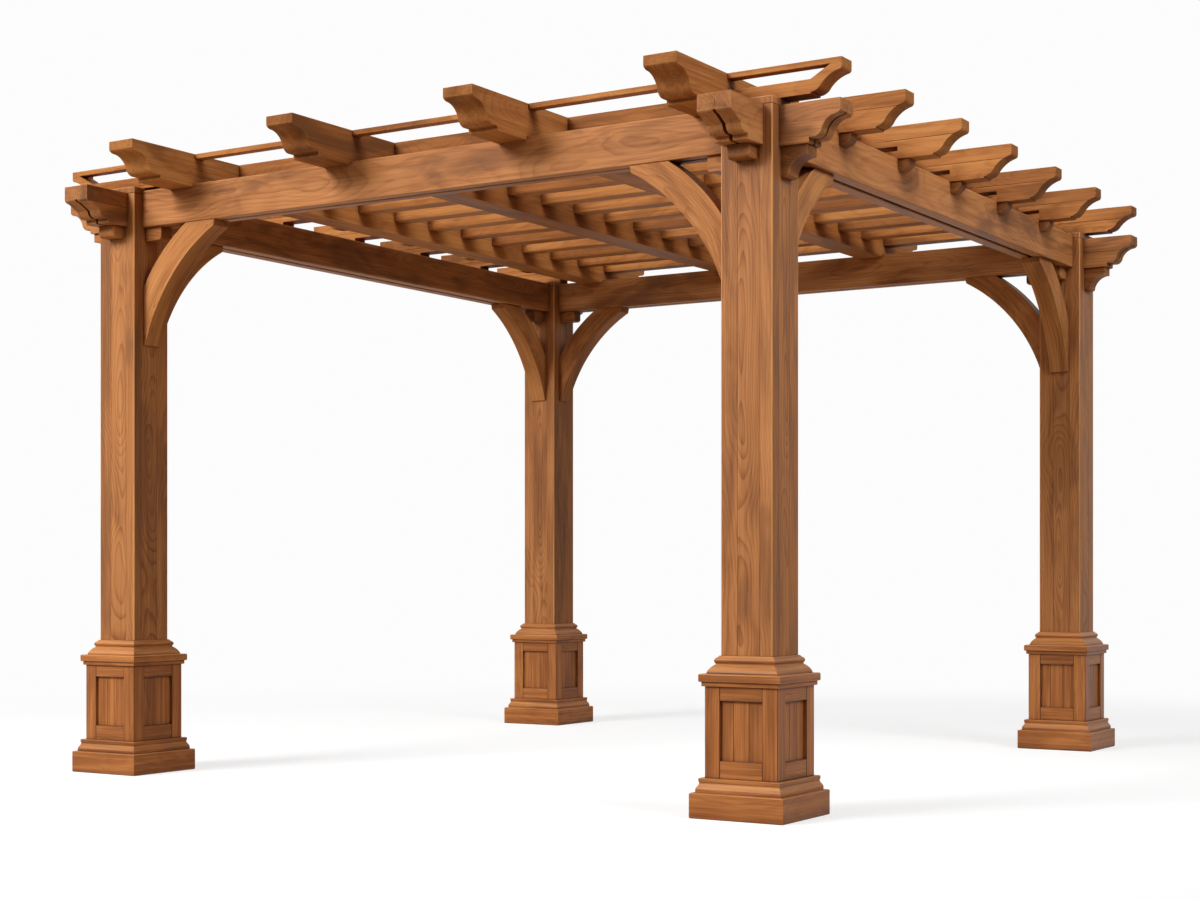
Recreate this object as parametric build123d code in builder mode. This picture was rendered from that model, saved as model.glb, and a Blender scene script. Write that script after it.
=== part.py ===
from build123d import *
import os

# A timber pergola on four square posts. X runs along the front beam, Y runs
# from the front to the back, Z is up. The origin lies on the ground at the
# middle of the four posts. All sizes are in millimetres.

# Plan and heights
bay_width = 3000
bay_depth = 3200
post_width = 200
post_height = 2467
beam_underside = 2300
beam_top = 2455
roof_top = 2579

# Pedestal that dresses the foot of each post
plinth_width = 361
plinth_height = 88
base_mould_height = 50
box_width = 280
box_top = 468
cap_width = 314
cap_thickness = 28
neck_height = 62
panel_width = 164
panel_height = 205
panel_recess = 12
fillet_height = 15
fillet_reach = 9

# Beams, each of two planks with a slim gap between them
front_beam_width = 100
front_plank = 43
side_beam_width = 130
side_plank = 55

# Ends of the beams that stand out past the posts
tail_top = 2440
tail_reach = 230
tail_ogee = 118
slit_width = 12
front_nose = 0.40
side_nose = 0.29

# Rafters run from the front to the back, purlins from side to side, with a
# shorter slat in each space between two purlins
rafter_places = [-1175, -340, 495, 1330]
rafter_width = 130
rafter_depth = 138
rafter_overhang = 346
rafter_ogee = 157
purlin_count = 7
purlin_width = 80
purlin_depth = 80
purlin_tail_depth = 128
purlin_end = 1830
purlin_ogee = 116
slat_end = 1500
slat_corner = 15
rail_depth = 20
rail_width = 45
slot_floor = 62
slot_top_inset = 44
slot_foot_inset = 118

# Knee braces, corbels and the small blocks under the purlins
brace_run = 402
brace_drop = 497
brace_thickness = 90
brace_nose = 26
corbel_reach = 100
corbel_drop = 104
corbel_width = 76
cleat_reach = 60
cleat_height = 48
cleat_width = 86
bearer_reach = 90
bearer_height = 56
bearer_width = 66
block_reach = 46
block_drop = 44
block_width = 62

edge = 3

pedestal_top = box_top + cap_thickness + neck_height
half_post = post_width / 2
post_x = bay_width / 2
post_y = bay_depth / 2
front_face = post_y + front_beam_width / 2
side_face = post_x + side_beam_width / 2

corners = {
    "front_left": (-1, -1),
    "front_right": (1, -1),
    "back_left": (-1, 1),
    "back_right": (1, 1),
}

os.makedirs("parts", exist_ok=True)
finished = []


def write(part, name):
    part.label = name
    export_step(part, f"parts/{name}.step")
    finished.append(part)


def side_planes(x, y):
    # Two upright planes through a post's middle, one seen from the front
    # and one seen from the side.
    front = Plane(origin=(x, y, 0), x_dir=(1, 0, 0), z_dir=(0, -1, 0))
    side = Plane(origin=(x, y, 0), x_dir=(0, 1, 0), z_dir=(1, 0, 0))
    return front, side


def mitred_block(x, y, half_profile, reach):
    # A square block with moulded sides: the outline seen from the front and
    # the same outline seen from the side meet in true mitres at the corners.
    with BuildPart() as block:
        for plane, how in zip(side_planes(x, y), (Mode.ADD, Mode.INTERSECT)):
            with BuildSketch(plane):
                with BuildLine():
                    half_profile()
                    mirror(about=Plane.YZ)
                make_face()
            extrude(amount=reach, both=True, mode=how)
    return block.part


def plinth_profile():
    half = plinth_width / 2
    lip = half - 24
    foot = half - 16
    top = plinth_height + base_mould_height
    Polyline((0, 0), (half - edge, 0), (half, edge), (half, plinth_height - edge),
             (half - edge, plinth_height), (foot, plinth_height), (foot, plinth_height + 5))
    ThreePointArc((foot, plinth_height + 5), (foot - 1, plinth_height + 15),
                  (foot - 6, plinth_height + 23))
    ThreePointArc((foot - 6, plinth_height + 23), (foot - 9, plinth_height + 29),
                  (foot - 10, plinth_height + 37))
    Polyline((foot - 10, plinth_height + 37), (lip, plinth_height + 37), (lip, top - 2),
             (lip - 2, top), (0, top))


def cap_profile():
    half = cap_width / 2
    under = box_top
    top = under + cap_thickness
    ovolo = half - 21
    torus = half - 44
    Polyline((0, under), (half - edge, under), (half, under + edge), (half, top - edge),
             (half - edge, top), (ovolo, top), (ovolo, top + 5))
    ThreePointArc((ovolo, top + 5), (ovolo - 9, top + 20), (torus, top + 32))
    Line((torus, top + 32), (torus, top + 36))
    ThreePointArc((torus, top + 36), (torus + 4, top + 45), (torus - 3, top + 55))
    Polyline((torus - 3, top + 55), (half_post + 6, top + neck_height - 4),
             (half_post + 4, top + neck_height), (0, top + neck_height))


def panel_box(x, y):
    height = box_top - plinth_height - base_mould_height
    bottom = plinth_height + base_mould_height
    middle = bottom + 61 + panel_height / 2
    with BuildPart() as box:
        with BuildSketch(Plane((x, y, bottom))):
            Rectangle(box_width, box_width)
        extrude(amount=height)
        chamfer(box.edges().filter_by(Axis.Z), length=edge)
        with BuildSketch(Plane((x, y, box_top))):
            Rectangle(box_width + 2 * fillet_reach, box_width + 2 * fillet_reach)
        extrude(amount=-fillet_height)
        for turn in range(4):
            face = Plane((x, y, middle)).rotated((90, 0, 90 * turn)).offset(box_width / 2)
            with BuildSketch(face):
                Rectangle(panel_width, panel_height)
            extrude(amount=-panel_recess, mode=Mode.SUBTRACT)
    return box.part


def post(x, y):
    with BuildPart() as shaft:
        with BuildSketch(Plane((x, y, pedestal_top))):
            Rectangle(post_width, post_width)
        extrude(amount=post_height - pedestal_top)
        chamfer(shaft.edges().filter_by(Axis.Z), length=edge + 1)
        chamfer(shaft.faces().sort_by(Axis.Z)[-1].edges(), length=edge)
    return shaft.part


def plank_pair(start, end, planks, width, thickness):
    # Two planks on edge, from start to end along the plane's x direction.
    with BuildPart() as pair:
        with BuildSketch(planks):
            middle = (start + end) / 2
            spread = (width - thickness) / 2
            with Locations((middle, -spread), (middle, spread)):
                Rectangle(end - start, thickness)
        extrude(amount=beam_top - beam_underside)
        chamfer(pair.edges().filter_by(Axis.X if planks.x_dir.X else Axis.Y), length=edge)
    return pair.part


def ogee_end(tip, depth, reach, nose=0.25):
    # The carved end of a timber, from the top of its end face to the point
    # where the underside starts: nose, cove, bulge, a flat quirk and a lip.
    def at(inward, down):
        return (tip - inward * reach, -down * depth)

    Line(at(0, 0), at(0, nose))
    ThreePointArc(at(0, nose), at(0.06, nose + 0.055), at(0.18, nose + 0.085))
    ThreePointArc(at(0.18, nose + 0.085), at(0.45, nose + 0.205), at(0.59, 0.67))
    ThreePointArc(at(0.59, 0.67), at(0.66, 0.80), at(0.79, 0.87))
    Polyline(at(0.79, 0.87), at(1, 0.87), (tip - reach, -depth + 4),
             (tip - reach - 4, -depth))


def soft_ogee_end(tip, depth, reach):
    # The gentler S of the purlin tails, with only a thin lip under it.
    def at(inward, down):
        return (tip - inward * reach, -down * depth)

    Line(at(0, 0), at(0, 0.28))
    ThreePointArc(at(0, 0.28), at(0.025, 0.345), at(0.10, 0.385))
    ThreePointArc(at(0.10, 0.385), at(0.41, 0.515), at(0.64, 0.72))
    ThreePointArc(at(0.64, 0.72), at(0.77, 0.87), at(0.95, 0.945))
    Polyline(at(0.95, 0.945), at(1, 0.945), at(1, 1))


def beam_tail(view, width, nose):
    # A short carved timber on the post's outer face, slit up the middle of
    # its underside, from the nose down, where the beam's two planks part.
    depth = tail_top - beam_underside
    with BuildPart() as tail:
        with BuildSketch(view):
            with BuildLine():
                ogee_end(tail_reach, depth, tail_ogee, nose)
                Polyline((tail_reach - tail_ogee - 4, -depth), (0, -depth), (0, 0),
                         (tail_reach, 0))
            make_face()
        extrude(amount=width / 2, both=True)
        with BuildSketch(view):
            with Locations((tail_reach / 2, -depth)):
                Rectangle(tail_reach, 2 * depth * (1 - nose))
        extrude(amount=slit_width / 2, both=True, mode=Mode.SUBTRACT)
    return tail.part


def outward_view(x, y, z, along, across):
    # An upright plane whose x direction points away from the pergola, with
    # its origin on the post face that the piece is fixed to.
    return Plane(origin=(x, y, z), x_dir=along, z_dir=across)


def corbel(view, reach, drop, width):
    # A bracket with a square nose and a cove cut out of its lower corner.
    nose = 0.34 * drop
    toe = 0.3 * reach
    with BuildPart() as bracket:
        with BuildSketch(view):
            with BuildLine():
                Polyline((0, 0), (reach, 0), (reach, -nose), (reach - 8, -nose))
                ThreePointArc((reach - 8, -nose), (0.5 * reach, -0.53 * drop),
                              (toe, -drop + 16))
                Polyline((toe, -drop + 16), (toe, -drop + 8), (toe - 8, -drop), (0, -drop),
                         (0, 0))
            make_face()
        extrude(amount=width / 2, both=True)
    return bracket.part


def small_block(view, reach, drop, width):
    # A plain block with the lower edge of its end rounded off.
    with BuildPart() as block:
        with BuildSketch(view):
            with Locations((reach / 2, -drop / 2)):
                outline = Rectangle(reach, drop)
            lower_corner = outline.vertices().group_by(Axis.X)[-1].sort_by(Axis.Y)[0]
            fillet(lower_corner, radius=0.28 * drop)
        extrude(amount=width / 2, both=True)
    return block.part


def knee_brace(view):
    # A sawn curve between a post and the beam above it: the back is a slow
    # arc, the open side a deeper one that ends in a short nose.
    with BuildPart() as brace:
        with BuildSketch(view):
            with BuildLine():
                Line((0, -250), (0, -brace_drop))
                Line((0, -brace_drop), (9, -brace_drop))
                ThreePointArc((9, -brace_drop), (160, -218), (brace_run - 6, -brace_nose))
                Line((brace_run - 6, -brace_nose), (brace_run, 0))
                Line((brace_run, 0), (242, 0))
                ThreePointArc((242, 0), (110, -108), (0, -250))
            make_face()
        extrude(amount=brace_thickness / 2, both=True)
    return brace.part


def rafter(x):
    tip = front_face + rafter_overhang
    places = purlin_places()
    with BuildPart() as timber:
        with BuildSketch(Plane(origin=(x, 0, roof_top), x_dir=(0, 1, 0), z_dir=(1, 0, 0))):
            with BuildLine():
                ogee_end(tip, rafter_depth, rafter_ogee)
                Line((tip - rafter_ogee - 4, -rafter_depth), (0, -rafter_depth))
                Line((0, 0), (tip, 0))
                mirror(about=Plane.YZ)
            make_face()
        extrude(amount=rafter_width / 2, both=True)
        # Seats over the front and back beams
        with BuildSketch(Plane((x, 0, beam_top))):
            with Locations((0, -post_y), (0, post_y)):
                Rectangle(rafter_width, front_beam_width)
        extrude(amount=-rafter_depth, mode=Mode.SUBTRACT)
        # Housings for the slats and purlins, and a shallow one for the rail
        with BuildSketch(Plane((x, 0, roof_top))):
            with Locations(*[(0, y) for y in slat_places() + places[1:]]):
                Rectangle(rafter_width, purlin_width)
        extrude(amount=-purlin_depth, mode=Mode.SUBTRACT)
        with BuildSketch(Plane((x, 0, roof_top))):
            with Locations((0, rail_middle(places[0]))):
                Rectangle(rafter_width, rail_width)
        extrude(amount=-rail_depth, mode=Mode.SUBTRACT)
    return timber.part


def purlin_places():
    step = bay_depth / (purlin_count - 1)
    return [-post_y + step * k for k in range(purlin_count)]


def slat_places():
    half_step = bay_depth / (purlin_count - 1) / 2
    return [y - half_step for y in purlin_places()[1:]]


def rail_middle(y):
    # The rail lies flush with the front of the tails that it joins.
    return y - purlin_width / 2 + rail_width / 2


def purlin(y, tail_depth, shoulder):
    # A long timber with carved tails, which grow deeper past the shoulders.
    with BuildPart() as timber:
        with BuildSketch(Plane(origin=(0, y, roof_top), x_dir=(1, 0, 0), z_dir=(0, -1, 0))):
            with BuildLine():
                soft_ogee_end(purlin_end, tail_depth, purlin_ogee)
                Polyline((purlin_end - purlin_ogee, -tail_depth), (shoulder, -tail_depth),
                         (shoulder, -purlin_depth), (0, -purlin_depth))
                Line((0, 0), (purlin_end, 0))
                mirror(about=Plane.YZ)
            make_face()
        extrude(amount=purlin_width / 2, both=True)
    return timber.part


def slat(y):
    # A shorter bar between two purlins, its ends rounded off underneath.
    with BuildPart() as bar:
        with BuildSketch(Plane(origin=(0, y, roof_top), x_dir=(1, 0, 0), z_dir=(0, -1, 0))):
            with Locations((0, -purlin_depth / 2)):
                Rectangle(2 * slat_end, purlin_depth)
        extrude(amount=purlin_width / 2, both=True)
        lowest = bar.faces().sort_by(Axis.Z)[0]
        fillet(lowest.edges().filter_by(Axis.Y), radius=slat_corner)
    return bar.part


def front_purlin(y):
    # Over the front beam there is only a thin rail between the outer
    # rafters. The tails are slotted under the rail.
    tail_depth = roof_top - post_height
    left = rafter_places[0] - rafter_width / 2
    right = rafter_places[-1] + rafter_width / 2
    slot_end = purlin_end - slot_top_inset
    slot_foot = purlin_end - slot_foot_inset
    view = Plane(origin=(0, y, roof_top), x_dir=(1, 0, 0), z_dir=(0, -1, 0))
    with BuildPart() as timber:
        with BuildSketch(view):
            with BuildLine():
                soft_ogee_end(purlin_end, tail_depth, purlin_ogee)
                Line((purlin_end - purlin_ogee, -tail_depth), (0, -tail_depth))
                Line((0, 0), (purlin_end, 0))
                mirror(about=Plane.YZ)
            make_face()
        extrude(amount=purlin_width / 2, both=True)
        # Open middle, from one outer rafter to the other
        with BuildSketch(view):
            with Locations(((left + right) / 2, -tail_depth)):
                Rectangle(right - left, 2 * (tail_depth - rail_depth))
        extrude(amount=purlin_width, both=True, mode=Mode.SUBTRACT)
        # Slots with a sloping outer end
        for side, start in ((-1, left), (1, right)):
            with BuildSketch(view):
                with BuildLine():
                    Polyline((start, -rail_depth), (side * slot_end, -rail_depth),
                             (side * slot_foot, -slot_floor), (start, -slot_floor),
                             close=True)
                make_face()
            extrude(amount=purlin_width, both=True, mode=Mode.SUBTRACT)
        # The rail is only as wide as it needs to be
        spare = purlin_width - rail_width
        with BuildSketch(Plane((0, y + (purlin_width - spare) / 2, roof_top))):
            Rectangle(2 * slot_end, spare)
        extrude(amount=-rail_depth, mode=Mode.SUBTRACT)
    return timber.part


def purlin_blocks(side):
    # Rounded blocks on the side beam's outer face, one under each tail.
    seat = roof_top - purlin_tail_depth
    with BuildPart() as blocks:
        for y in purlin_places()[1:-1]:
            view = Plane(origin=(side * side_face, y, seat), x_dir=(side, 0, 0),
                         z_dir=(0, -side, 0))
            with BuildSketch(view):
                with BuildLine():
                    Line((0, -block_drop), (0, 0))
                    Line((0, 0), (block_reach, 0))
                    Line((block_reach, 0), (block_reach, -0.4 * block_drop))
                    ThreePointArc((block_reach, -0.4 * block_drop),
                                  (0.58 * block_reach, -0.835 * block_drop), (0, -block_drop))
                make_face()
            extrude(amount=block_width / 2, both=True)
    return blocks.part


# Posts and their pedestals
for name, (i, j) in corners.items():
    x = i * post_x
    y = j * post_y
    write(mitred_block(x, y, plinth_profile, plinth_width), f"plinth_{name}")
    write(panel_box(x, y), f"panel_box_{name}")
    write(mitred_block(x, y, cap_profile, cap_width), f"cap_moulding_{name}")
    write(post(x, y), f"post_{name}")

# Beams between the posts
inner_x = post_x - half_post
inner_y = post_y - half_post
for name, j in (("front_beam", -1), ("back_beam", 1)):
    floor = Plane(origin=(0, j * post_y, beam_underside), x_dir=(1, 0, 0), z_dir=(0, 0, 1))
    write(plank_pair(-inner_x, inner_x, floor, front_beam_width, front_plank), name)
for name, i in (("left_beam", -1), ("right_beam", 1)):
    floor = Plane(origin=(i * post_x, 0, beam_underside), x_dir=(0, 1, 0), z_dir=(0, 0, 1))
    write(plank_pair(-inner_y, inner_y, floor, side_beam_width, side_plank), name)

# Beam tails, corbels and braces at each post
for name, (i, j) in corners.items():
    x = i * post_x
    y = j * post_y
    out_x = (i * (post_x + half_post), y)
    out_y = (x, j * (post_y + half_post))
    in_x = (i * inner_x, y)
    in_y = (x, j * inner_y)

    tails = Part(children=[
        beam_tail(outward_view(*out_x, tail_top, (i, 0, 0), (0, -i, 0)),
                  front_beam_width, side_nose),
        beam_tail(outward_view(*out_y, tail_top, (0, j, 0), (j, 0, 0)),
                  side_beam_width, front_nose),
    ])
    write(tails, f"beam_tails_{name}")

    corbels = Part(children=[
        corbel(outward_view(*out_x, beam_underside, (i, 0, 0), (0, -i, 0)),
               corbel_reach, corbel_drop, corbel_width),
        small_block(outward_view(*out_y, beam_underside, (0, j, 0), (j, 0, 0)),
                    cleat_reach, cleat_height, cleat_width),
        small_block(outward_view(*in_x, beam_underside, (-i, 0, 0), (0, i, 0)),
                    bearer_reach, bearer_height, bearer_width),
        small_block(outward_view(*in_y, beam_underside, (0, -j, 0), (-j, 0, 0)),
                    bearer_reach, bearer_height, bearer_width),
    ])
    write(corbels, f"corbels_{name}")

    braces = Part(children=[
        knee_brace(outward_view(*in_x, beam_underside, (-i, 0, 0), (0, i, 0))),
        knee_brace(outward_view(*in_y, beam_underside, (0, -j, 0), (-j, 0, 0))),
    ])
    write(braces, f"knee_braces_{name}")

# Roof timbers
for k, x in enumerate(rafter_places, start=1):
    write(rafter(x), f"rafter_{k}")

write(front_purlin(-post_y), "purlin_1")

# Every other purlin comes with the slat in front of it. The last one sits
# on the back posts, the rest on blocks outside the side beams.
for k, (y, between) in enumerate(zip(purlin_places()[1:], slat_places()), start=2):
    if k == purlin_count:
        whole = purlin(y, roof_top - post_height, inner_x)
    else:
        whole = purlin(y, purlin_tail_depth, side_face)
    write(Part(children=[whole, slat(between)]), f"purlin_{k}")

write(purlin_blocks(-1), "purlin_blocks_left")
write(purlin_blocks(1), "purlin_blocks_right")

box = Compound(children=finished).bounding_box()
print("pieces", len(finished), "size", box.size)
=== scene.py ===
# %% [markdown]
# # A timber pergola, one piece at a time
# The pergola is a set of sawn timbers: four posts on panelled pedestals, beams made of
# two planks, carved tails, curved braces and a lattice of rafters and purlins. The
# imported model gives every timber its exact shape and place. This lesson gives each one
# the edges, joints and wood that a maker would see.

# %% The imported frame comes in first
import math
import random

import bmesh
import bpy
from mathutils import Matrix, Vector


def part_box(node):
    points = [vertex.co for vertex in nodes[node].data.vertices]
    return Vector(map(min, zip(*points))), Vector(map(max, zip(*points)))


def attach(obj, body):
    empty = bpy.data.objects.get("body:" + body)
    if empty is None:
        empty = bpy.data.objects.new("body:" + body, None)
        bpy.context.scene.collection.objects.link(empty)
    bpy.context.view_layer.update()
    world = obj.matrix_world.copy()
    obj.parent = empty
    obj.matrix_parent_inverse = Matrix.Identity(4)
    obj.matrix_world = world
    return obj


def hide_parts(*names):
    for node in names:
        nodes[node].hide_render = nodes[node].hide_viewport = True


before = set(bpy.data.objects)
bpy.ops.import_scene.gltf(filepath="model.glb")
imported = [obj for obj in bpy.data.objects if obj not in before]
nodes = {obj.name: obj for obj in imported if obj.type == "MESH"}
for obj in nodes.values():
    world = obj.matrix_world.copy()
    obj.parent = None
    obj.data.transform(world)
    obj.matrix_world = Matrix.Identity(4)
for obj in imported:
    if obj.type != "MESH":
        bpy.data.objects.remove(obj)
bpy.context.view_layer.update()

print(len(nodes), "timbers in the frame")

# %% [markdown]
# ## The camera
# The photograph was taken from just below breast height, with its uprights parallel.
# A level camera whose picture is shifted upwards keeps them so, as a view camera does.
# Tilting the camera instead would make the posts lean together.

# %% A level camera with a raised picture
camera_data = bpy.data.cameras.new("camera")
camera_data.sensor_width = 36
camera_data.lens = 59.4
camera_data.shift_y = 0.1019
camera = bpy.data.objects.new("camera", camera_data)
camera.location = (4.674, -7.701, 0.845)
camera.rotation_euler = (math.radians(90), 0, math.radians(32.1))
bpy.context.scene.collection.objects.link(camera)
bpy.context.scene.camera = camera
print("camera height", camera.location.z, "lens", camera_data.lens)

# %% [markdown]
# ## The studio
# The pergola stands on a plain white floor under soft light. A big lamp high on the
# left lights the fronts of the timbers and leaves their right sides in half shade. A
# smaller one with a grid picks out the tops of those sides. The world fills the rest.
# The floor shows white to the camera, and keeps a soft shadow.

# %% Lamps
def add_lamp(name, place, aim, width, power, spread=180):
    data = bpy.data.lights.new(name, "AREA")
    data.shape = "DISK"
    data.size = width
    data.energy = power
    data.spread = math.radians(spread)
    lamp = bpy.data.objects.new(name, data)
    lamp.location = place
    lamp.rotation_euler = (Vector(aim) - Vector(place)).to_track_quat("-Z", "Y").to_euler()
    bpy.context.scene.collection.objects.link(lamp)
    return lamp


add_lamp("key_lamp", (-5.2, -12.5, 8.4), (0, 0, 1.3), 6.5, 1880)
add_lamp("right_lamp", (7.0, -2.0, 6.2), (1.5, -0.2, 2.6), 4.5, 60, spread=62)
bpy.context.scene.view_settings.view_transform = "Standard"

# %% Which rays see the white surroundings
def seen_directly(tree):
    # 1 for what the camera sees, also by a gloss or through glass, and 0 for plain light
    path = tree.nodes.new("ShaderNodeLightPath")
    found = path.outputs["Is Camera Ray"]
    for kind in ("Is Glossy Ray", "Is Transmission Ray"):
        more = tree.nodes.new("ShaderNodeMath")
        more.operation = "MAXIMUM"
        tree.links.new(found, more.inputs[0])
        tree.links.new(path.outputs[kind], more.inputs[1])
        found = more.outputs[0]
    return found


# %% A white world behind everything
sky_light, sky_on_the_right = 0.42, 0.08
world = bpy.data.worlds.new("studio")
world.use_nodes = True
bpy.context.scene.world = world
tree = world.node_tree
background = tree.nodes["Background"]
shows = seen_directly(tree)
direction = tree.nodes.new("ShaderNodeTexCoord")
axes = tree.nodes.new("ShaderNodeSeparateXYZ")
tree.links.new(direction.outputs["Generated"], axes.inputs[0])
fall = tree.nodes.new("ShaderNodeMapRange")
fall.inputs["From Min"].default_value = -0.2
fall.inputs["From Max"].default_value = 0.8
fall.inputs["To Min"].default_value = sky_light
fall.inputs["To Max"].default_value = sky_on_the_right
tree.links.new(axes.outputs["X"], fall.inputs["Value"])
strength = tree.nodes.new("ShaderNodeMapRange")
tree.links.new(fall.outputs[0], strength.inputs["To Min"])
strength.inputs["To Max"].default_value = 0.98
tree.links.new(shows, strength.inputs["Value"])
background.inputs["Color"].default_value = (1, 1, 1, 1)
tree.links.new(strength.outputs[0], background.inputs["Strength"])
print("sky strength", sky_light, "down to", sky_on_the_right)

# %% [markdown]
# The floor is one big disc. Near the pergola it is partly a plain matt surface, so that
# shadows show, and partly a glow that only the camera sees. Farther out the glow takes
# over, and the floor melts into the background with no line where it ends.

# %% A floor that melts into the background
def floor_material():
    material = bpy.data.materials.new("studio_floor")
    material.use_nodes = True
    t = material.node_tree
    t.nodes.clear()
    out = t.nodes.new("ShaderNodeOutputMaterial")
    matt = t.nodes.new("ShaderNodeBsdfDiffuse")
    matt.inputs["Color"].default_value = (0.42, 0.32, 0.21, 1)
    shown = t.nodes.new("ShaderNodeBsdfDiffuse")
    shown.inputs["Color"].default_value = (0.44, 0.44, 0.44, 1)
    glow = t.nodes.new("ShaderNodeEmission")
    glow.inputs["Strength"].default_value = 0.66
    both = t.nodes.new("ShaderNodeAddShader")
    t.links.new(shown.outputs[0], both.inputs[0])
    t.links.new(glow.outputs[0], both.inputs[1])
    far_glow = t.nodes.new("ShaderNodeEmission")
    far_glow.inputs["Strength"].default_value = 0.98
    place = t.nodes.new("ShaderNodeTexCoord")
    length = t.nodes.new("ShaderNodeVectorMath")
    length.operation = "LENGTH"
    t.links.new(place.outputs["Object"], length.inputs[0])
    fade = t.nodes.new("ShaderNodeMapRange")
    fade.interpolation_type = "SMOOTHSTEP"
    fade.inputs["From Min"].default_value = 2.6
    fade.inputs["From Max"].default_value = 6.5
    t.links.new(length.outputs["Value"], fade.inputs["Value"])
    near_far = t.nodes.new("ShaderNodeMixShader")
    t.links.new(fade.outputs[0], near_far.inputs[0])
    t.links.new(both.outputs[0], near_far.inputs[1])
    t.links.new(far_glow.outputs[0], near_far.inputs[2])
    to_eye = t.nodes.new("ShaderNodeMixShader")
    t.links.new(seen_directly(t), to_eye.inputs[0])
    t.links.new(matt.outputs[0], to_eye.inputs[1])
    t.links.new(near_far.outputs[0], to_eye.inputs[2])
    t.links.new(to_eye.outputs[0], out.inputs["Surface"])
    return material


bm = bmesh.new()
bmesh.ops.create_circle(bm, cap_ends=True, radius=45, segments=64)
floor_mesh = bpy.data.meshes.new("floor")
bm.to_mesh(floor_mesh)
bm.free()
floor = bpy.data.objects.new("floor", floor_mesh)
floor.data.materials.append(floor_material())
bpy.context.scene.collection.objects.link(floor)
print("floor", floor.dimensions[:])

# %% [markdown]
# ## How the wood is made
# Wood has no picture on it: its pattern is the tree itself, seen where the saw went.
# So the pattern here is solid too. Growth rings are cylinders round the middle of a log
# that wanders a little. Each board keeps, at every corner of its faces, the place in the
# log that it was sawn from, in an attribute called grain. Flat faces then show arches,
# ends show rings, and a curved brace can have grain that follows its curve.
#
# A second attribute, board, holds three numbers: the board's own tone, how worn the
# surface is there, and how much it is a dark joint. The worn number also paints a
# highlight on the post corners and on the upward slopes of the mouldings, and the joint
# number also paints the shade in the seams between the pedestal boards. A third, end,
# says how far the surface cuts across the fibres, because end grain drinks more stain.

# %% Small helpers for a node tree
def add_node(tree, kind, inputs=None, **settings):
    made = tree.nodes.new(kind)
    for key, value in settings.items():
        setattr(made, key, value)
    for key, value in (inputs or {}).items():
        if isinstance(value, bpy.types.NodeSocket):
            tree.links.new(value, made.inputs[key])
        else:
            made.inputs[key].default_value = value
    return made


def maths(tree, operation, a, b=0.0, clamp=False):
    made = add_node(tree, "ShaderNodeMath", {0: a, 1: b}, operation=operation)
    made.use_clamp = clamp
    return made.outputs[0]


def blend_colours(tree, how, amount, a, b):
    made = tree.nodes.new("ShaderNodeMix")
    made.data_type = "RGBA"
    made.blend_type = how
    for socket, value in (("Factor_Float", amount), ("A_Color", a), ("B_Color", b)):
        target = [s for s in made.inputs if s.identifier == socket][0]
        if isinstance(value, bpy.types.NodeSocket):
            tree.links.new(value, target)
        else:
            target.default_value = value
    return [s for s in made.outputs if s.identifier == "Result_Color"][0]


def spread(tree, value, low, high, new_low=0.0, new_high=1.0):
    made = add_node(tree, "ShaderNodeMapRange",
                    {"Value": value, "From Min": low, "From Max": high,
                     "To Min": new_low, "To Max": new_high})
    return made.outputs[0]


def stretched_noise(tree, grain, stretch, detail=2.0, twist=0.0, rough=0.5):
    scaled = add_node(tree, "ShaderNodeVectorMath", {0: grain, 1: stretch}, operation="MULTIPLY")
    noise = add_node(tree, "ShaderNodeTexNoise",
                     {"Vector": scaled.outputs[0], "Scale": 1.0, "Detail": detail,
                      "Distortion": twist, "Roughness": rough})
    return noise


print("helpers ready")

# %% [markdown]
# ## The timber material
# One recipe makes all the timbers. It reads the place in the log, bends it with two slow
# noises so that the rings wander, and takes the distance from the middle of the log.
# The fractional part of that distance is where we are inside one year's ring: pale
# early wood first, then a thin dark line. Finer stretched noises add fibres and pores,
# and slow ones add the smoky patches of a hand-rubbed stain.

# %% The recipe for stained hardwood
def srgb(r, g, b):
    def line(c):
        c = c / 255
        return c / 12.92 if c <= 0.04045 else ((c + 0.055) / 1.055) ** 2.4
    return (line(r), line(g), line(b), 1.0)


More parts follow.
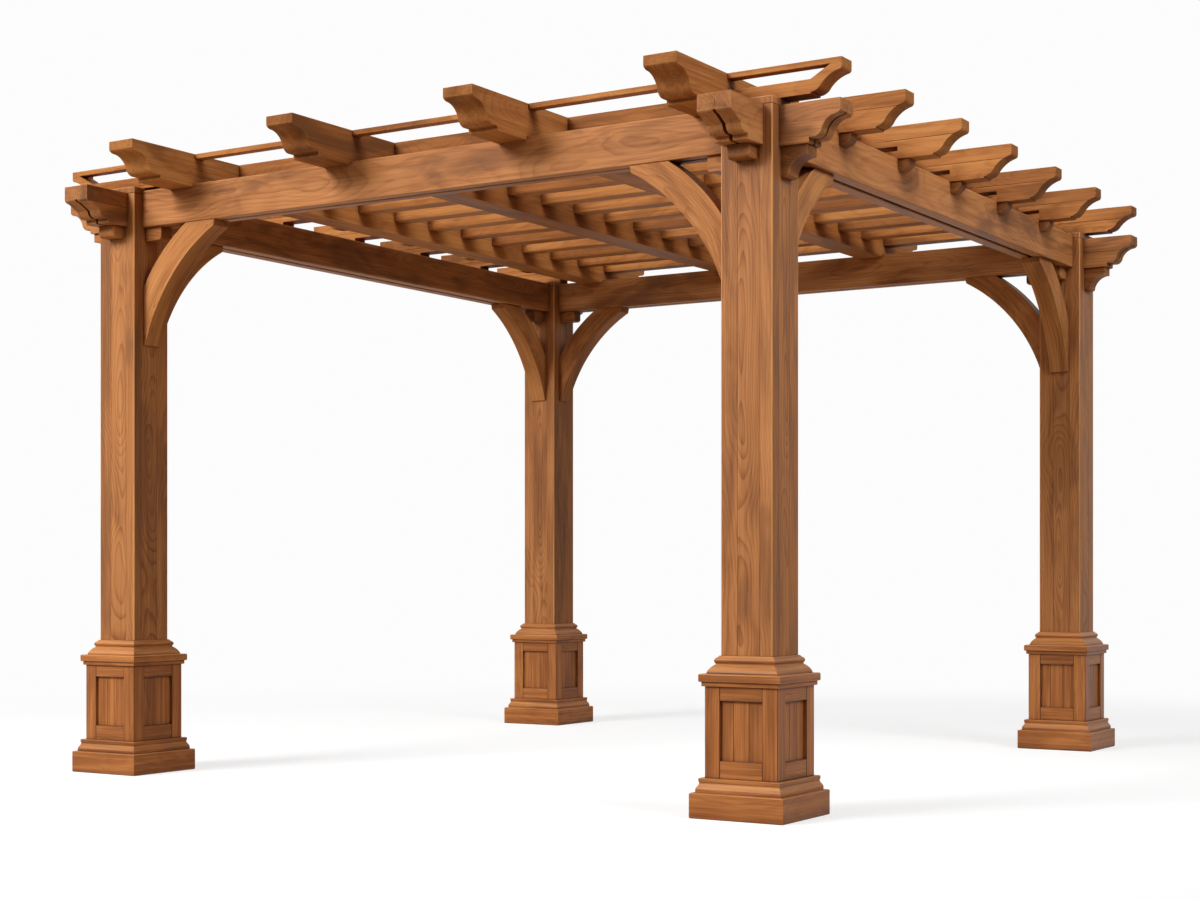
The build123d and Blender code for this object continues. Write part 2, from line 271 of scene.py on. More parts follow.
def stained_timber(name, pale, middle, dark, smoke, ring_gap=0.008, ring_show=0.30,
                   smoke_show=0.5, wear_and_highlight=0.4, worn_and_highlight_colour=srgb(216, 152, 92), gloss=0.5,
                   wander_by=(0.0, 0.09, 0.26), streak_show=1.0, shine=0.12):
    material = bpy.data.materials.new(name)
    material.use_nodes = True
    t = material.node_tree
    shader = t.nodes["Principled BSDF"]
    grain = add_node(t, "ShaderNodeAttribute", attribute_name="grain").outputs["Vector"]
    board = add_node(t, "ShaderNodeAttribute", attribute_name="board").outputs["Vector"]
    end = add_node(t, "ShaderNodeAttribute", attribute_name="end").outputs["Fac"]
    marks = add_node(t, "ShaderNodeSeparateXYZ", {0: board})
    tone, worn_and_highlit, joint = marks.outputs[0], marks.outputs[1], marks.outputs[2]

    # Knots: here and there the fibres swell round a small dark eye
    scaled = add_node(t, "ShaderNodeVectorMath", {0: grain, 1: (2.2, 6.0, 6.0)},
                      operation="MULTIPLY")
    eyes = add_node(t, "ShaderNodeTexVoronoi", {"Vector": scaled.outputs[0], "Scale": 1.0})
    chosen = add_node(t, "ShaderNodeSeparateColor", {0: eyes.outputs["Color"]}).outputs[0]
    present = maths(t, "GREATER_THAN", chosen, 0.62)
    near = maths(t, "MULTIPLY", spread(t, eyes.outputs["Distance"], 0.0, 0.34, 1.0, 0.0), present)
    swell = maths(t, "MULTIPLY", maths(t, "POWER", near, 2.0), 0.022)

    # The middle of the log wanders, mostly in and out, so flat faces show arches
    slow = stretched_noise(t, grain, (1.5, 3.4, 3.4), detail=1.5)
    wander = add_node(t, "ShaderNodeVectorMath",
                      {0: slow.outputs["Color"], 1: (0.5, 0.5, 0.5)}, operation="SUBTRACT")
    wander = add_node(t, "ShaderNodeVectorMath",
                      {0: wander.outputs[0], 1: wander_by}, operation="MULTIPLY")
    ripple = stretched_noise(t, grain, (9.0, 28.0, 28.0), detail=2.0)
    ripple = add_node(t, "ShaderNodeVectorMath",
                      {0: ripple.outputs["Color"], 1: (0.0, 0.006, 0.006)},
                      operation="MULTIPLY")
    bent = add_node(t, "ShaderNodeVectorMath", {0: grain, 1: wander.outputs[0]},
                    operation="ADD")
    bent = add_node(t, "ShaderNodeVectorMath", {0: bent.outputs[0], 1: ripple.outputs[0]},
                    operation="ADD")
    across = add_node(t, "ShaderNodeVectorMath", {0: bent.outputs[0], 1: (0.0, 1.0, 1.0)},
                      operation="MULTIPLY")
    radius = add_node(t, "ShaderNodeVectorMath", {0: across.outputs[0]}, operation="LENGTH")
    radius = maths(t, "ADD", radius.outputs["Value"], swell)
    year = maths(t, "FRACT", maths(t, "DIVIDE", radius, ring_gap))
    years = maths(t, "DIVIDE", radius, ring_gap * 6.5)
    vigour = add_node(t, "ShaderNodeTexNoise", {"W": years, "Scale": 1.0, "Detail": 2.0},
                      noise_dimensions="1D").outputs[0]

    ring = add_node(t, "ShaderNodeValToRGB", {0: year})
    ramp = ring.color_ramp
    ramp.elements[0].position = 0.0
    ramp.elements[0].color = (0.35, 0.35, 0.35, 1)
    ramp.elements[1].position = 1.0
    ramp.elements[1].color = (1, 1, 1, 1)
    for position, value in ((0.10, 0.0), (0.60, 0.15), (0.88, 0.75)):
        ramp.elements.new(position).color = (value, value, value, 1)
    ring_dark = maths(t, "MULTIPLY", ring.outputs["Color"], ring_show)
    ring_dark = maths(t, "MULTIPLY", ring_dark, spread(t, vigour, 0.3, 0.7, 0.35, 1.25))

    # Fibres and broad streaks run with the grain
    fibre = stretched_noise(t, grain, (7.0, 420.0, 420.0), detail=2.0).outputs[0]
    streak = stretched_noise(t, grain, (1.3, 60.0, 60.0), detail=3.0, rough=0.62).outputs[0]
    haze = stretched_noise(t, grain, (1.6, 6.0, 6.0), detail=3.0, twist=1.2).outputs[0]

    shade = maths(t, "ADD", ring_dark, spread(t, streak, 0.34, 0.68, -0.16 * streak_show,
                                              0.20 * streak_show))
    shade = maths(t, "ADD", shade, spread(t, fibre, 0.3, 0.7, -0.10, 0.10))
    shade = maths(t, "ADD", shade, spread(t, haze, 0.35, 0.65, -0.14, 0.14))
    shade = maths(t, "ADD", shade, spread(t, tone, 0.0, 1.0, -0.14, 0.16))
    shade = maths(t, "ADD", shade, 0.30, clamp=True)
    colour = add_node(t, "ShaderNodeValToRGB", {0: shade})
    colour.color_ramp.elements[0].color = pale
    colour.color_ramp.elements[1].color = dark
    colour.color_ramp.elements.new(0.42).color = middle
    colour = colour.outputs["Color"]

    smoky = maths(t, "MULTIPLY", spread(t, haze, 0.52, 0.70), smoke_show)
    smoky = maths(t, "ADD", smoky, spread(t, tone, 0.6, 1.1, 0.0, 0.5), clamp=True)
    colour = blend_colours(t, "MIX", smoky, colour, smoke)
    eye = maths(t, "MULTIPLY", maths(t, "POWER", near, 5.0), 0.85)
    colour = blend_colours(t, "MIX", eye, colour, srgb(62, 34, 18))
    colour = blend_colours(t, "MIX", maths(t, "MULTIPLY", end, 0.28), colour, smoke)
    # Worn edges turn paler; on the post corners and the upward slopes of the mouldings this paleness
    # is a painted highlight
    pale_edge_and_highlight = maths(t, "MULTIPLY", worn_and_highlit, spread(t, streak, 0.3, 0.7, wear_and_highlight, wear_and_highlight * 0.4))
    colour = blend_colours(t, "MIX", pale_edge_and_highlight, colour, worn_and_highlight_colour)
    colour = blend_colours(t, "MIX", maths(t, "MULTIPLY", joint, 0.9), colour,
                           srgb(52, 28, 14))
    # Painted shade: an occlusion node darkens the corners, recesses and the lines where timbers meet
    corner = add_node(t, "ShaderNodeAmbientOcclusion", {"Distance": 0.06}, samples=4)
    painted_corner_shade = spread(t, corner.outputs["AO"], 0.20, 0.80, 0.80, 0.0)
    colour = blend_colours(t, "MULTIPLY", painted_corner_shade, colour, srgb(116, 62, 30))
    t.links.new(colour, shader.inputs["Base Color"])

    rough = maths(t, "ADD", spread(t, shade, 0.0, 1.0, gloss + 0.05, gloss - 0.06),
                  maths(t, "MULTIPLY", end, 0.16))
    t.links.new(rough, shader.inputs["Roughness"])
    shader.inputs["Specular IOR Level"].default_value = shine
    height = maths(t, "ADD", maths(t, "MULTIPLY", fibre, 0.6), maths(t, "MULTIPLY", ring_dark, -0.2))
    bump = add_node(t, "ShaderNodeBump", {"Height": height, "Strength": 0.25,
                                          "Distance": 0.0010})
    t.links.new(bump.outputs[0], shader.inputs["Normal"])
    return material


# %% Five finishes from one recipe
finishes = {
    # The posts' pale worn colour is rubbed wear, and along the post corners it is also a painted
    # highlight
    "post_timber": stained_timber(
        "post_timber", srgb(192, 131, 80), srgb(166, 108, 63), srgb(109, 65, 35),
        srgb(117, 79, 55), ring_gap=0.0100, ring_show=0.44, smoke_show=0.40, wear_and_highlight=0.85,
        worn_and_highlight_colour=srgb(230, 164, 98)),
    "pedestal_timber": stained_timber(
        "pedestal_timber", srgb(191, 125, 70), srgb(161, 98, 52), srgb(103, 58, 30),
        srgb(110, 70, 44), ring_gap=0.0080, ring_show=0.20, smoke_show=0.3, wear_and_highlight=0.80,
        gloss=0.40, wander_by=(0.0, 0.05, 0.12), streak_show=1.5, shine=0.15),
    "beam_timber": stained_timber(
        "beam_timber", srgb(198, 137, 86), srgb(171, 112, 67), srgb(105, 62, 34),
        srgb(112, 76, 54), ring_gap=0.0100, ring_show=0.28, smoke_show=0.70, wear_and_highlight=0.35,
        wander_by=(0.0, 0.06, 0.17), shine=0.08),
    "roof_timber": stained_timber(
        "roof_timber", srgb(194, 132, 76), srgb(165, 104, 56), srgb(104, 58, 28),
        srgb(112, 71, 43), ring_gap=0.0090, ring_show=0.20, smoke_show=0.50, wear_and_highlight=0.22,
        wander_by=(0.0, 0.06, 0.17), shine=0.04),
    "bracket_timber": stained_timber(
        "bracket_timber", srgb(202, 141, 86), srgb(174, 113, 65), srgb(110, 64, 33),
        srgb(116, 76, 50), ring_gap=0.0080, ring_show=0.34, smoke_show=0.45, wear_and_highlight=0.4,
        gloss=0.45, shine=0.06),
}
print("finishes", sorted(finishes))

# %% [markdown]
# ## From a rough timber to a dressed one
# A node of the imported model is a skin of loose triangles. A copy of it is welded into
# whole flat faces, which is the rough timber. Its sharp edges are then eased with a
# narrow bevel, as with a hand plane, and the new faces are noted as worn, which makes
# them paler like rubbed edges and on the posts also paints a highlight along the corners.

# %% The workbench
LAYERS = ("grain", "board")


def new_bench(node=None):
    bm = bmesh.new()
    if node:
        bm.from_mesh(nodes[node].data)
        bmesh.ops.remove_doubles(bm, verts=bm.verts, dist=0.00003)
        bmesh.ops.dissolve_limit(bm, angle_limit=math.radians(1.2), use_dissolve_boundaries=False,
                                 verts=bm.verts, edges=bm.edges)
    for layer in LAYERS:
        bm.loops.layers.float_vector.new(layer)
    bm.loops.layers.float.new("end")
    bm.faces.layers.int.new("kind")
    return bm


def ease_edges(bm, width, edges=None, steps=2):
    if edges is None:
        edges = [e for e in bm.edges if len(e.link_faces) == 2
                 and e.calc_face_angle(0.0) > math.radians(28)]
    made = bmesh.ops.bevel(bm, geom=edges, offset=width, offset_type="OFFSET", segments=steps,
                           profile=0.5, affect="EDGES", clamp_overlap=True, material=-1)
    kind = bm.faces.layers.int["kind"]
    for face in made["faces"]:
        face[kind] = 1
    return made["faces"]


def loose_parts(bm):
    # Always walks the faces in their own order, so that every run deals the same grain
    seen = set()
    parts = []
    for start in bm.faces:
        if start in seen:
            continue
        seen.add(start)
        part, todo = [], [start]
        while todo:
            face = todo.pop()
            part.append(face)
            for edge in face.edges:
                for other in edge.link_faces:
                    if other not in seen:
                        seen.add(other)
                        todo.append(other)
        parts.append(part)
    return parts


def rims(faces):
    # The edges and corners of some faces, each once and in a fixed order
    return list(dict.fromkeys(part for f in faces for part in (*f.edges, *f.verts)))


def edges_of(faces):
    return list(dict.fromkeys(e for f in faces for e in f.edges))


def corners_of(faces):
    return list(dict.fromkeys(v for f in faces for v in f.verts))


def middle_of(faces):
    spots = [v.co for f in faces for v in f.verts]
    low = Vector([min(s[i] for s in spots) for i in range(3)])
    high = Vector([max(s[i] for s in spots) for i in range(3)])
    return (low + high) / 2


print("bench ready")

# %% [markdown]
# ## Where in the log each board was
# A straight board needs three directions: along the fibres, out of its show face, and
# across. The board gets a random spot on a long imaginary log, with the heart of the
# log a hand's breadth behind the show face, and it leans a little, as sawn boards do.
# A board from beside the heart shows straight lines, and one from in front shows arches.

# %% Laying the grain
def straight_grain(along, out, centre, rng, heart=(0.05, 0.11), aside=(-0.035, 0.035)):
    along = Vector(along)
    out = Vector(out)
    side = out.cross(along)
    shift = Vector((rng.uniform(0, 60), rng.uniform(*aside), rng.uniform(*heart)))
    lean = rng.uniform(-0.03, 0.03)

    def spot(point):
        d = point - centre
        u = d.dot(along)
        return Vector((u, d.dot(side) + 0.3 * lean * u, d.dot(out) + lean * u)) + shift

    return spot, lambda point: along


def lay_grain(bm, faces, grain, tone):
    spot, run = grain
    place = bm.loops.layers.float_vector["grain"]
    board = bm.loops.layers.float_vector["board"]
    end = bm.loops.layers.float["end"]
    kind = bm.faces.layers.int["kind"]
    for face in faces:
        worn_and_highlit = 1.0 if face[kind] == 1 else 0.0
        joint = 1.0 if face[kind] == 2 else 0.0
        for loop in face.loops:
            point = loop.vert.co
            loop[place] = spot(point)
            loop[board] = (tone, worn_and_highlit, joint)
            loop[end] = face.normal.dot(run(point)) ** 2


def glue_line(bm, faces, at, across, width=0.0011, depth=0.0016):
    # Cuts a fine V along a plane into the faces given
    cut = bmesh.ops.bisect_plane(bm, geom=rims(faces) + list(faces), dist=0.00001,
                                 plane_co=at, plane_no=across)
    edges = [e for e in cut["geom_cut"] if isinstance(e, bmesh.types.BMEdge)]
    if not edges:
        return
    made = bmesh.ops.bevel(bm, geom=edges, offset=width, offset_type="OFFSET", segments=2,
                           profile=0.5, affect="EDGES", clamp_overlap=True, material=-1)
    kind = bm.faces.layers.int["kind"]
    for face in made["faces"]:
        face[kind] = 2
    bm.normal_update()
    across = Vector(across).normalized()
    for vert in corners_of(made["faces"]):
        if abs((vert.co - Vector(at)).dot(across)) < 0.00005:
            vert.co -= vert.normal * depth


def off_the_bench(bm, name, finish, replaced):
    mesh = bpy.data.meshes.new(name)
    bm.normal_update()
    bm.to_mesh(mesh)
    bm.free()
    for extra in ("custom_normal",):
        if extra in mesh.attributes:
            mesh.attributes.remove(mesh.attributes[extra])
    for polygon in mesh.polygons:
        polygon.use_smooth = True
    mesh.set_sharp_from_angle(angle=math.radians(50))
    piece = bpy.data.objects.new(name, mesh)
    # Wide faces keep their own normals, and only the eased edges turn
    weighted = piece.modifiers.new("weighted_normals", "WEIGHTED_NORMAL")
    weighted.keep_sharp = True
    piece.data.materials.append(finishes[finish])
    bpy.context.scene.collection.objects.link(piece)
    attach(piece, "root")
    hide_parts(replaced)
    return piece


print("grain and joints ready")

# %% [markdown]
# ## Posts
# Each post is glued up from narrow staves, which is how a square this size is kept from
# splitting. On every face two fine joints part three staves of unlike width, and each
# stave has its own grain. A thin cap closes the end grain at the top.

# %% Four glued posts
corners = {"front_left": (-1, -1), "front_right": (1, -1),
           "back_left": (-1, 1), "back_right": (1, 1)}
compass = [Vector(v) for v in ((0, -1, 0), (1, 0, 0), (0, 1, 0), (-1, 0, 0))]
cap_height = 0.027
stave_tones = ((0.45, 0.30, 0.12), (0.70, 0.50, 0.40), (0.4, 0.3, 0.6), (0.6, 0.3, 0.4), (0.5,))
middle_cut = {"heart": (0.035, 0.060), "aside": (-0.012, 0.012)}
outer_cut = {"heart": (0.030, 0.060), "aside": (0.090, 0.140)}


def faces_towards(faces, way, least=0.9):
    return [f for f in faces if f.normal.dot(way) > least]


def stave_post(corner):
    name = f"post_{corner}"
    rng = random.Random(name)
    low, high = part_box(name)
    centre = (low + high) / 2
    half = (high.x - low.x) / 2
    bm = new_bench(name)
    ease_edges(bm, 0.0012)
    bm.normal_update()
    kind = bm.faces.layers.int["kind"]
    # The corner faces are marked worn, which paints a pale highlight down each corner of the post
    for face in bm.faces:
        if min(abs(face.normal.x), abs(face.normal.y)) > 0.5:
            face[kind] = 1
    cuts = {}
    for side, way in enumerate(compass):
        across = Vector((0, 0, 1)).cross(way)
        turn = 1 if side == 0 else -1
        cuts[side] = sorted(turn * half * c for c in (-0.32 + rng.uniform(-0.05, 0.05),
                                                      0.54 + rng.uniform(-0.04, 0.06)))
        for cut in cuts[side]:
            bm.normal_update()
            glue_line(bm, faces_towards(bm.faces, way), centre + across * cut, across,
                      width=0.0006, depth=0.0007)
        bm.normal_update()
        glue_line(bm, faces_towards(bm.faces, way, 0.6),
                  Vector((0, 0, high.z - cap_height)), (0, 0, 1))
    bm.normal_update()
    staves = {}
    for face in bm.faces:
        spot = face.calc_center_median()
        side = max(range(4), key=lambda k: face.normal.dot(compass[k])
                   + 0.01 * (spot - centre).dot(compass[k]))
        offset = (spot - centre).dot(Vector((0, 0, 1)).cross(compass[side]))
        stave = sum(offset > cut for cut in cuts[side])
        if abs(face.normal.z) > 0.9 and spot.z > centre.z or spot.z > high.z - cap_height:
            side, stave = 4, 0
        staves.setdefault((side, stave), []).append(face)
    for (side, stave), faces in sorted(staves.items(), key=lambda item: item[0]):
        out = compass[side % 4]
        mid = middle_of(faces)
        tone = stave_tones[side][stave] + rng.uniform(-0.12, 0.12)
        cut = middle_cut if stave == 1 else outer_cut
        grain = straight_grain((0, 0, 1), out, mid, rng, **cut)
        lay_grain(bm, faces, grain, tone)
    return off_the_bench(bm, f"dressed_{name}", "post_timber", name)


for corner in corners:
    post = stave_post(corner)
    print(post.name, len(post.data.polygons), "faces")

# %% [markdown]
# ## Pedestals
# A pedestal is joinery: four corner stiles, a top and a bottom rail on each side, and a
# panel of three boards sunk behind them. Every board is one cube, stretched to its size
# with its edges eased, so the joints between them are real. A slim fillet runs round
# the top, under the cap.

# %% A board from a cube
def add_board(bm, low, high, along, out, rng, tone=None, arris=0.0014, edge_kind=2):
    low, high = Vector(low), Vector(high)
    made = bmesh.ops.create_cube(bm, size=1.0)
    bmesh.ops.scale(bm, vec=high - low, verts=made["verts"])
    bmesh.ops.translate(bm, vec=(low + high) / 2, verts=made["verts"])
    faces = list(dict.fromkeys(f for v in made["verts"] for f in v.link_faces))
    before = set(bm.faces) - set(faces)
    ease_edges(bm, arris, edges_of(faces))
    faces = [f for f in bm.faces if f not in before]
    kind = bm.faces.layers.int["kind"]
    # The eased edges become dark joints, which also paints the shade in the seams between the boards
    for face in faces:
        if face[kind] == 1:
            face[kind] = edge_kind
    bm.normal_update()
    grain = straight_grain(along, out, (low + high) / 2, rng, heart=(0.04, 0.08),
                           aside=(0.02, 0.11))
    lay_grain(bm, faces, grain, rng.random() if tone is None else tone)
    return faces


# %% A square of four mitred strips
def mitre(bm, faces, centre, rng):
    # Cuts a square moulding on both diagonals and gives each side its own grain
    others = set(bm.faces) - set(faces)
    for diagonal in (Vector((1, 1, 0)), Vector((1, -1, 0))):
        whole = [f for f in bm.faces if f not in others]
        bmesh.ops.bisect_plane(bm, geom=rims(whole) + whole, dist=0.00001, plane_co=centre,
                               plane_no=diagonal.normalized())
    bm.normal_update()
    whole = [f for f in bm.faces if f not in others]
    for way in compass:
        across = Vector((0, 0, 1)).cross(way)
        side = [f for f in whole
                if (f.calc_center_median() - centre).dot(way)
                > abs((f.calc_center_median() - centre).dot(across))]
        grain = straight_grain(across, way, middle_of(side), rng)
        lay_grain(bm, side, grain, 0.3 + 0.3 * rng.random())


# %% Stiles, rails and sunk panels
def panelled_box(corner):
    name = f"panel_box_{corner}"
    rng = random.Random(name)
    low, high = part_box(name)
    centre = (low + high) / 2
    half, stile = 0.140, 0.058
    rail_low, rail_high, fillet, lip = 0.061, 0.049, 0.015, 0.009
    top = high.z - fillet
    up = (0, 0, 1)
    bm = new_bench()
    for i in (-1, 1):
        for j in (-1, 1):
            x = sorted((centre.x + i * half, centre.x + i * (half - stile)))
            y = sorted((centre.y + j * half, centre.y + j * (half - stile)))
            add_board(bm, (x[0], y[0], low.z), (x[1], y[1], top), up,
                      (0, j, 0), rng, tone=rng.uniform(0.1, 0.5))
    gap = half - stile
    for way in compass:
        across = Vector(up).cross(way)

        def placed(a, b, depth_in, depth_out, z0, z1):
            one = centre + across * a + way * depth_in
            two = centre + across * b + way * depth_out
            return ((min(one.x, two.x), min(one.y, two.y), z0),
                    (max(one.x, two.x), max(one.y, two.y), z1))

        for z0, z1 in ((low.z, low.z + rail_low), (top - rail_high, top)):
            add_board(bm, *placed(-gap, gap, half - 0.030, half - 0.0008, z0, z1),
                      across, way, rng, tone=rng.uniform(0.25, 0.75))
        widths = [rng.uniform(0.85, 1.15) for _ in range(3)]
        start = -gap - 0.002
        for width in widths:
            stop = start + (2 * gap + 0.004) * width / sum(widths)
            add_board(bm, *placed(start, stop, half - 0.026, half - 0.012,
                                  low.z + rail_low - 0.002, top - rail_high + 0.002),
                      up, way, rng, tone=rng.uniform(0.1, 0.7), arris=0.001)
            start = stop
    reach = Vector((half + lip, half + lip, 0))
    slab = add_board(bm, Vector((centre.x, centre.y, top)) - reach,
                     Vector((centre.x, centre.y, high.z)) + reach, up, (0, -1, 0), rng,
                     edge_kind=0)
    mitre(bm, slab, centre, rng)
    return off_the_bench(bm, f"dressed_{name}", "pedestal_timber", name)


for corner in corners:
    box = panelled_box(corner)
    print(box.name, len(box.data.polygons), "faces")

# %% [markdown]
# The skirt and the cap are mouldings that meet in mitres. The rough block is cut along
# both diagonals, which gives the mitre joints, and each side gets grain that runs along
# it, as a moulding planed from one strip has.

# %% Mitred mouldings
def paint_highlight_on_slopes(bm, amount):
    # Painted highlight: the rounded parts that face upwards are marked worn, so they come out paler
    # than the flats
    board = bm.loops.layers.float_vector["board"]
    for face in bm.faces:
        if 0.2 < face.normal.z < 0.97:
            for loop in face.loops:
                tone, worn_and_highlit, joint = loop[board]
                loop[board] = (tone, max(worn_and_highlit, amount), joint)


def mitred_moulding(name):
    rng = random.Random(name)
    low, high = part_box(name)
    centre = (low + high) / 2
    bm = new_bench(name)
    ease_edges(bm, 0.0014)
    mitre(bm, list(bm.faces), centre, rng)
    paint_highlight_on_slopes(bm, 0.7)
    return off_the_bench(bm, f"dressed_{name}", "pedestal_timber", name)


for corner in corners:
    for kind in ("plinth", "cap_moulding"):
        moulding = mitred_moulding(f"{kind}_{corner}")
        print(moulding.name, len(moulding.data.polygons), "faces")

# %% [markdown]
# ## Beams
# Each beam is a pair of planks on edge with a slim gap between them. A plank shows one
# long wide face, so its grain is flat sawn and its figure is large.

# %% Planks in pairs
def plank_beam(name, along, out):
    rng = random.Random(name)
    bm = new_bench(name)
    ease_edges(bm, 0.0012)
    for plank in loose_parts(bm):
        grain = straight_grain(along, out, middle_of(plank), rng, heart=(0.07, 0.10))
        lay_grain(bm, plank, grain, rng.uniform(0.30, 0.65))
    return off_the_bench(bm, f"dressed_{name}", "beam_timber", name)


for name, along, out in (("front_beam", (1, 0, 0), (0, -1, 0)), ("back_beam", (1, 0, 0), (0, 1, 0)),
                         ("left_beam", (0, 1, 0), (-1, 0, 0)), ("right_beam", (0, 1, 0), (1, 0, 0))):
    beam = plank_beam(name, along, out)
    print(beam.name, len(beam.data.polygons), "faces")

# %% [markdown]
# ## Carved tails and corbels
# The short tails on the posts are carved from two layers glued flat, so a joint runs
# along their sides. Thick ends like these dry faster than the rest and open in a small
# crack, which is drawn here as a fine dark line in the end face.

# %% Beam tails
def outward_of(part, centre):
    away = middle_of(part) - centre
    if abs(away.x) > abs(away.y):
        return Vector((math.copysign(1, away.x), 0, 0))
    return Vector((0, math.copysign(1, away.y), 0))


def end_check(bm, faces, at, across, rng):
    # A drying crack up the middle of an end face, which wanders and dies out
    cut = bmesh.ops.bisect_plane(bm, geom=rims(faces) + list(faces), dist=0.00001,
                                 plane_co=at, plane_no=across)
    middle = [e for e in cut["geom_cut"] if isinstance(e, bmesh.types.BMEdge)]
    if not middle:
        return
    split = bmesh.ops.subdivide_edges(bm, edges=middle, cuts=7)
    inner = sorted([v for v in dict.fromkeys(split["geom_inner"])
                    if isinstance(v, bmesh.types.BMVert)], key=lambda v: v.co.z)
    for vert in inner:
        vert.co += across * rng.uniform(-0.0016, 0.0016)
    chain = inner[:5]
    edges = list(dict.fromkeys(e for v in chain for e in v.link_edges
                               if e.other_vert(v) in chain))
    made = bmesh.ops.bevel(bm, geom=edges, offset=0.0014, offset_type="OFFSET", segments=2,
                           profile=0.5, affect="EDGES", clamp_overlap=True, material=-1)
    kind = bm.faces.layers.int["kind"]
    for face in made["faces"]:
        face[kind] = 2


def beam_tails(corner):
    name = f"beam_tails_{corner}"
    rng = random.Random(name)
    low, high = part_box(f"post_{corner}")
    centre = (low + high) / 2
    bm = new_bench(name)
    ease_edges(bm, 0.0022)
    tails = [(outward_of(part, centre), middle_of(part), set(part)) for part in loose_parts(bm)]
    for way, mid, _ in tails:
        across = Vector((0, 0, 1)).cross(way)
        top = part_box(name)[1].z
        for sign in (-1, 1):
            bm.normal_update()
            sides = [f for f in faces_towards(bm.faces, across * sign)
                     if (f.calc_center_median() - mid).length < 0.2
                     and outward_of([f], centre) == way]
            outer = [f for f in sides
                     if (f.calc_center_median() - mid).dot(across * sign) > 0.03]
            glue_line(bm, outer, Vector((0, 0, top - rng.uniform(0.062, 0.070))), (0, 0, 1))
        bm.normal_update()
        ends = [f for f in faces_towards(bm.faces, way, 0.95)
                if outward_of([f], centre) == way and (f.calc_center_median() - mid).dot(way) > 0.1]
        end_check(bm, ends, mid + across * rng.uniform(-0.003, 0.003), across, rng)
    for part in loose_parts(bm):
        way = outward_of(part, centre)
        across = Vector((0, 0, 1)).cross(way)
        mid = middle_of(part)
        upper = [f for f in part if f.calc_center_median().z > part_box(name)[1].z - 0.066]
        lower = [f for f in part if f.calc_center_median().z <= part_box(name)[1].z - 0.066]
        for faces, tone in ((upper, 0.50), (lower, 0.0)):
            grain = straight_grain(way, across, mid, rng)
            lay_grain(bm, faces, grain, tone + rng.uniform(-0.10, 0.10))
    return off_the_bench(bm, f"dressed_{name}", "beam_timber", name)


for corner in corners:
    tails = beam_tails(corner)
    print(tails.name, len(tails.data.polygons), "faces")


# %% Corbels under the tails, and the bearers under the beams
def small_brackets(name, centre, finish):
    rng = random.Random(name)
    bm = new_bench(name)
    ease_edges(bm, 0.0018)
    bm.normal_update()
    for part in loose_parts(bm):
        way = outward_of(part, centre)
        across = Vector((0, 0, 1)).cross(way)
        grain = straight_grain(way, across, middle_of(part), rng)
        lay_grain(bm, part, grain, rng.uniform(0.3, 0.9))
    return off_the_bench(bm, f"dressed_{name}", finish, name)


for corner in corners:
    low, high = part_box(f"post_{corner}")
    corbels = small_brackets(f"corbels_{corner}", (low + high) / 2, "bracket_timber")
    print(corbels.name, len(corbels.data.polygons), "faces")

# %% [markdown]
# ## Knee braces
# A brace is sawn to a curve. Here its grain follows the curve too, as in the picture,
# where each brace is bent from thin layers. The place in the log is then worked out
# round the middle of the arc: the fibres run round it and the layers lie outwards.

# %% Curved grain for the braces
brace_chord = ((0.009, -0.497), (0.160, -0.218), (0.396, -0.026))
fan_start, fan_stop, fan_steps = 2, 88, 22


def circle_through(a, b, c):
    (ax, ay), (bx, by), (cx, cy) = a, b, c
    d = 2 * (ax * (by - cy) + bx * (cy - ay) + cx * (ay - by))
    a2, b2, c2 = ax * ax + ay * ay, bx * bx + by * by, cx * cx + cy * cy
    x = (a2 * (by - cy) + b2 * (cy - ay) + c2 * (ay - by)) / d
    y = (a2 * (cx - bx) + b2 * (ax - cx) + c2 * (bx - ax)) / d
    return x, y, math.dist((x, y), a)


def curved_grain(inward, foot, rng):
    # inward points from the post into the pergola, foot is the post face at beam level
    x0, z0, bend = circle_through(*brace_chord)
    across = Vector((0, 0, 1)).cross(inward)
    pivot = foot + inward * x0 + Vector((0, 0, z0))
    shift = Vector((rng.uniform(0, 60), rng.uniform(-0.02, 0.02), rng.uniform(0.04, 0.07)))
    lean = rng.uniform(0.02, 0.05)

    def spot(point):
        d = point - pivot
        x, z = d.dot(inward), d.z
        u = math.atan2(z, -x) * bend
        return Vector((u, math.hypot(x, z) - bend, d.dot(across) + lean * u)) + shift

    def run(point):
        d = point - pivot
        return (inward * d.z - Vector((0, 0, 1)) * d.dot(inward)).normalized()

    return spot, run


def fan_of_cuts(bm, inward, foot):
    # Edges that point at the middle of the arc let the grain turn with the curve
    x0, z0, bend = circle_through(*brace_chord)
    pivot = foot + inward * x0 + Vector((0, 0, z0))
    for step in range(fan_steps + 1):
        angle = math.radians(fan_start + (fan_stop - fan_start) * step / fan_steps)
        normal = inward * math.sin(angle) + Vector((0, 0, 1)) * math.cos(angle)
        faces = [f for f in bm.faces if part_side(f, foot, inward)]
        bmesh.ops.bisect_plane(bm, geom=rims(faces) + faces, dist=0.00001, plane_co=pivot,
                               plane_no=normal)


def part_side(face, foot, inward):
    # True for the faces of the brace that leans from this face of the post
    return (face.calc_center_median() - foot).dot(inward) > -0.001


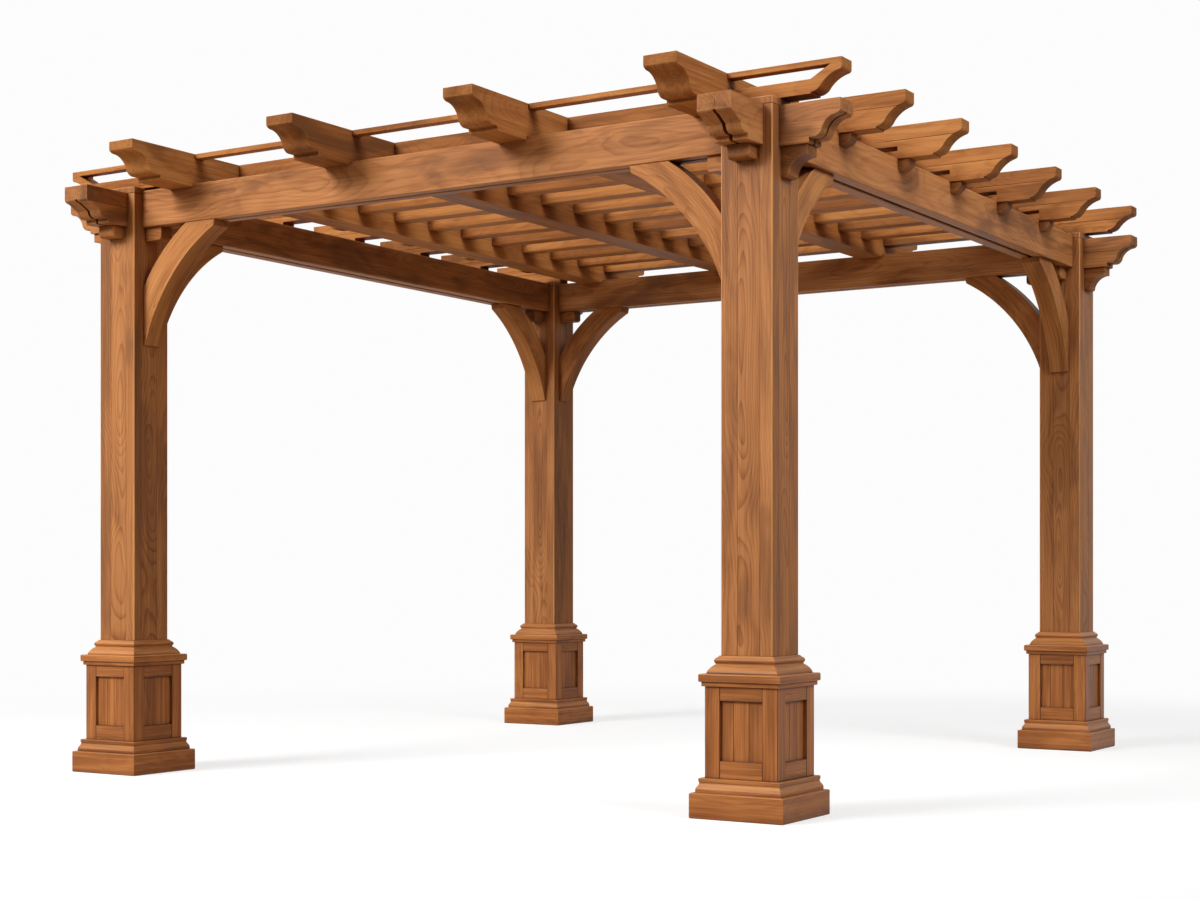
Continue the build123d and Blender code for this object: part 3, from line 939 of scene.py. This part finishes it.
def knee_braces(corner):
    name = f"knee_braces_{corner}"
    rng = random.Random(name)
    low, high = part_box(f"post_{corner}")
    centre = (low + high) / 2
    beam_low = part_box("front_beam")[0].z
    bm = new_bench(name)
    ease_edges(bm, 0.0026)
    feet = []
    for part in loose_parts(bm):
        inward = outward_of(part, centre)
        feet.append((inward, Vector((centre.x, centre.y, beam_low)) + inward * (high.x - low.x) / 2))
    for inward, foot in feet:
        fan_of_cuts(bm, inward, foot)
    bm.normal_update()
    for part in loose_parts(bm):
        inward = outward_of(part, centre)
        foot = next(f for i, f in feet if i == inward)
        # The braces take only the palest tones, which paints light on them against the shade under
        # the beams
        lay_grain(bm, part, curved_grain(inward, foot, rng), rng.uniform(0.0, 0.35))
    return off_the_bench(bm, f"dressed_{name}", "bracket_timber", name)


for corner in corners:
    braces = knee_braces(corner)
    print(braces.name, len(braces.data.polygons), "faces")

# %% [markdown]
# ## The roof
# Rafters run from front to back and purlins cross them, let into their tops. Both end
# in the same carved ogee. The tails of the purlins are built up like the beam tails,
# with a joint along their sides.

# %% Rafters
def rafter(name):
    rng = random.Random(name)
    bm = new_bench(name)
    ease_edges(bm, 0.0024)
    bm.normal_update()
    grain = straight_grain((0, 1, 0), (-1, 0, 0), middle_of(bm.faces), rng)
    lay_grain(bm, list(bm.faces), grain, rng.random())
    return off_the_bench(bm, f"dressed_{name}", "roof_timber", name)


for k in range(1, 5):
    timber = rafter(f"rafter_{k}")
    print(timber.name, len(timber.data.polygons), "faces")


# %% Purlins and the slats between them
slat_length = 3.1
tail_start = 1.47


def timber_and_slat(bm):
    # The long timber with tails, and the short slat where there is one
    parts = loose_parts(bm)
    length = [max(v.co.x for f in p for v in f.verts) - min(v.co.x for f in p for v in f.verts)
              for p in parts]
    long_one = [p for p, l in zip(parts, length) if l > slat_length][0]
    return long_one, [p for p in parts if p is not long_one]


def purlin(name, joint_depth):
    rng = random.Random(name)
    low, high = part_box(name)
    bm = new_bench(name)
    ease_edges(bm, 0.0020)
    for x in (-tail_start, tail_start):
        timber, _ = timber_and_slat(bm)
        bmesh.ops.bisect_plane(bm, geom=rims(timber) + timber, dist=0.00001,
                               plane_co=(x, 0, 0), plane_no=(1, 0, 0))
    joint = Vector((0, 0, high.z - joint_depth))
    for way in ((0, -1, 0), (0, 1, 0)):
        bm.normal_update()
        timber, _ = timber_and_slat(bm)
        tails = [f for f in faces_towards(timber, Vector(way))
                 if abs(f.calc_center_median().x) > tail_start]
        glue_line(bm, tails, joint, (0, 0, 1))
    bm.normal_update()
    timber, slats = timber_and_slat(bm)
    upper = [f for f in timber if f.calc_center_median().z > joint.z]
    lower = [f for f in timber if f.calc_center_median().z <= joint.z]
    tone = rng.random()
    for faces, change in ((upper, 0.1), (lower, -0.1)):
        grain = straight_grain((1, 0, 0), (0, -1, 0), middle_of(faces), rng)
        lay_grain(bm, faces, grain, tone + change)
    for slat in slats:
        grain = straight_grain((1, 0, 0), (0, -1, 0), middle_of(slat), rng)
        lay_grain(bm, slat, grain, rng.random())
    return off_the_bench(bm, f"dressed_{name}", "roof_timber", name)


for k in range(1, 8):
    timber = purlin(f"purlin_{k}", 0.0203 if k == 1 else 0.056)
    print(timber.name, len(timber.data.polygons), "faces")

# %% Blocks under the purlin tails
for side, x in (("left", -1.0), ("right", 1.0)):
    blocks = small_brackets(f"purlin_blocks_{side}", Vector((x * 1.2, 0, 2.4)),
                            "bracket_timber")
    print(blocks.name, len(blocks.data.polygons), "faces")
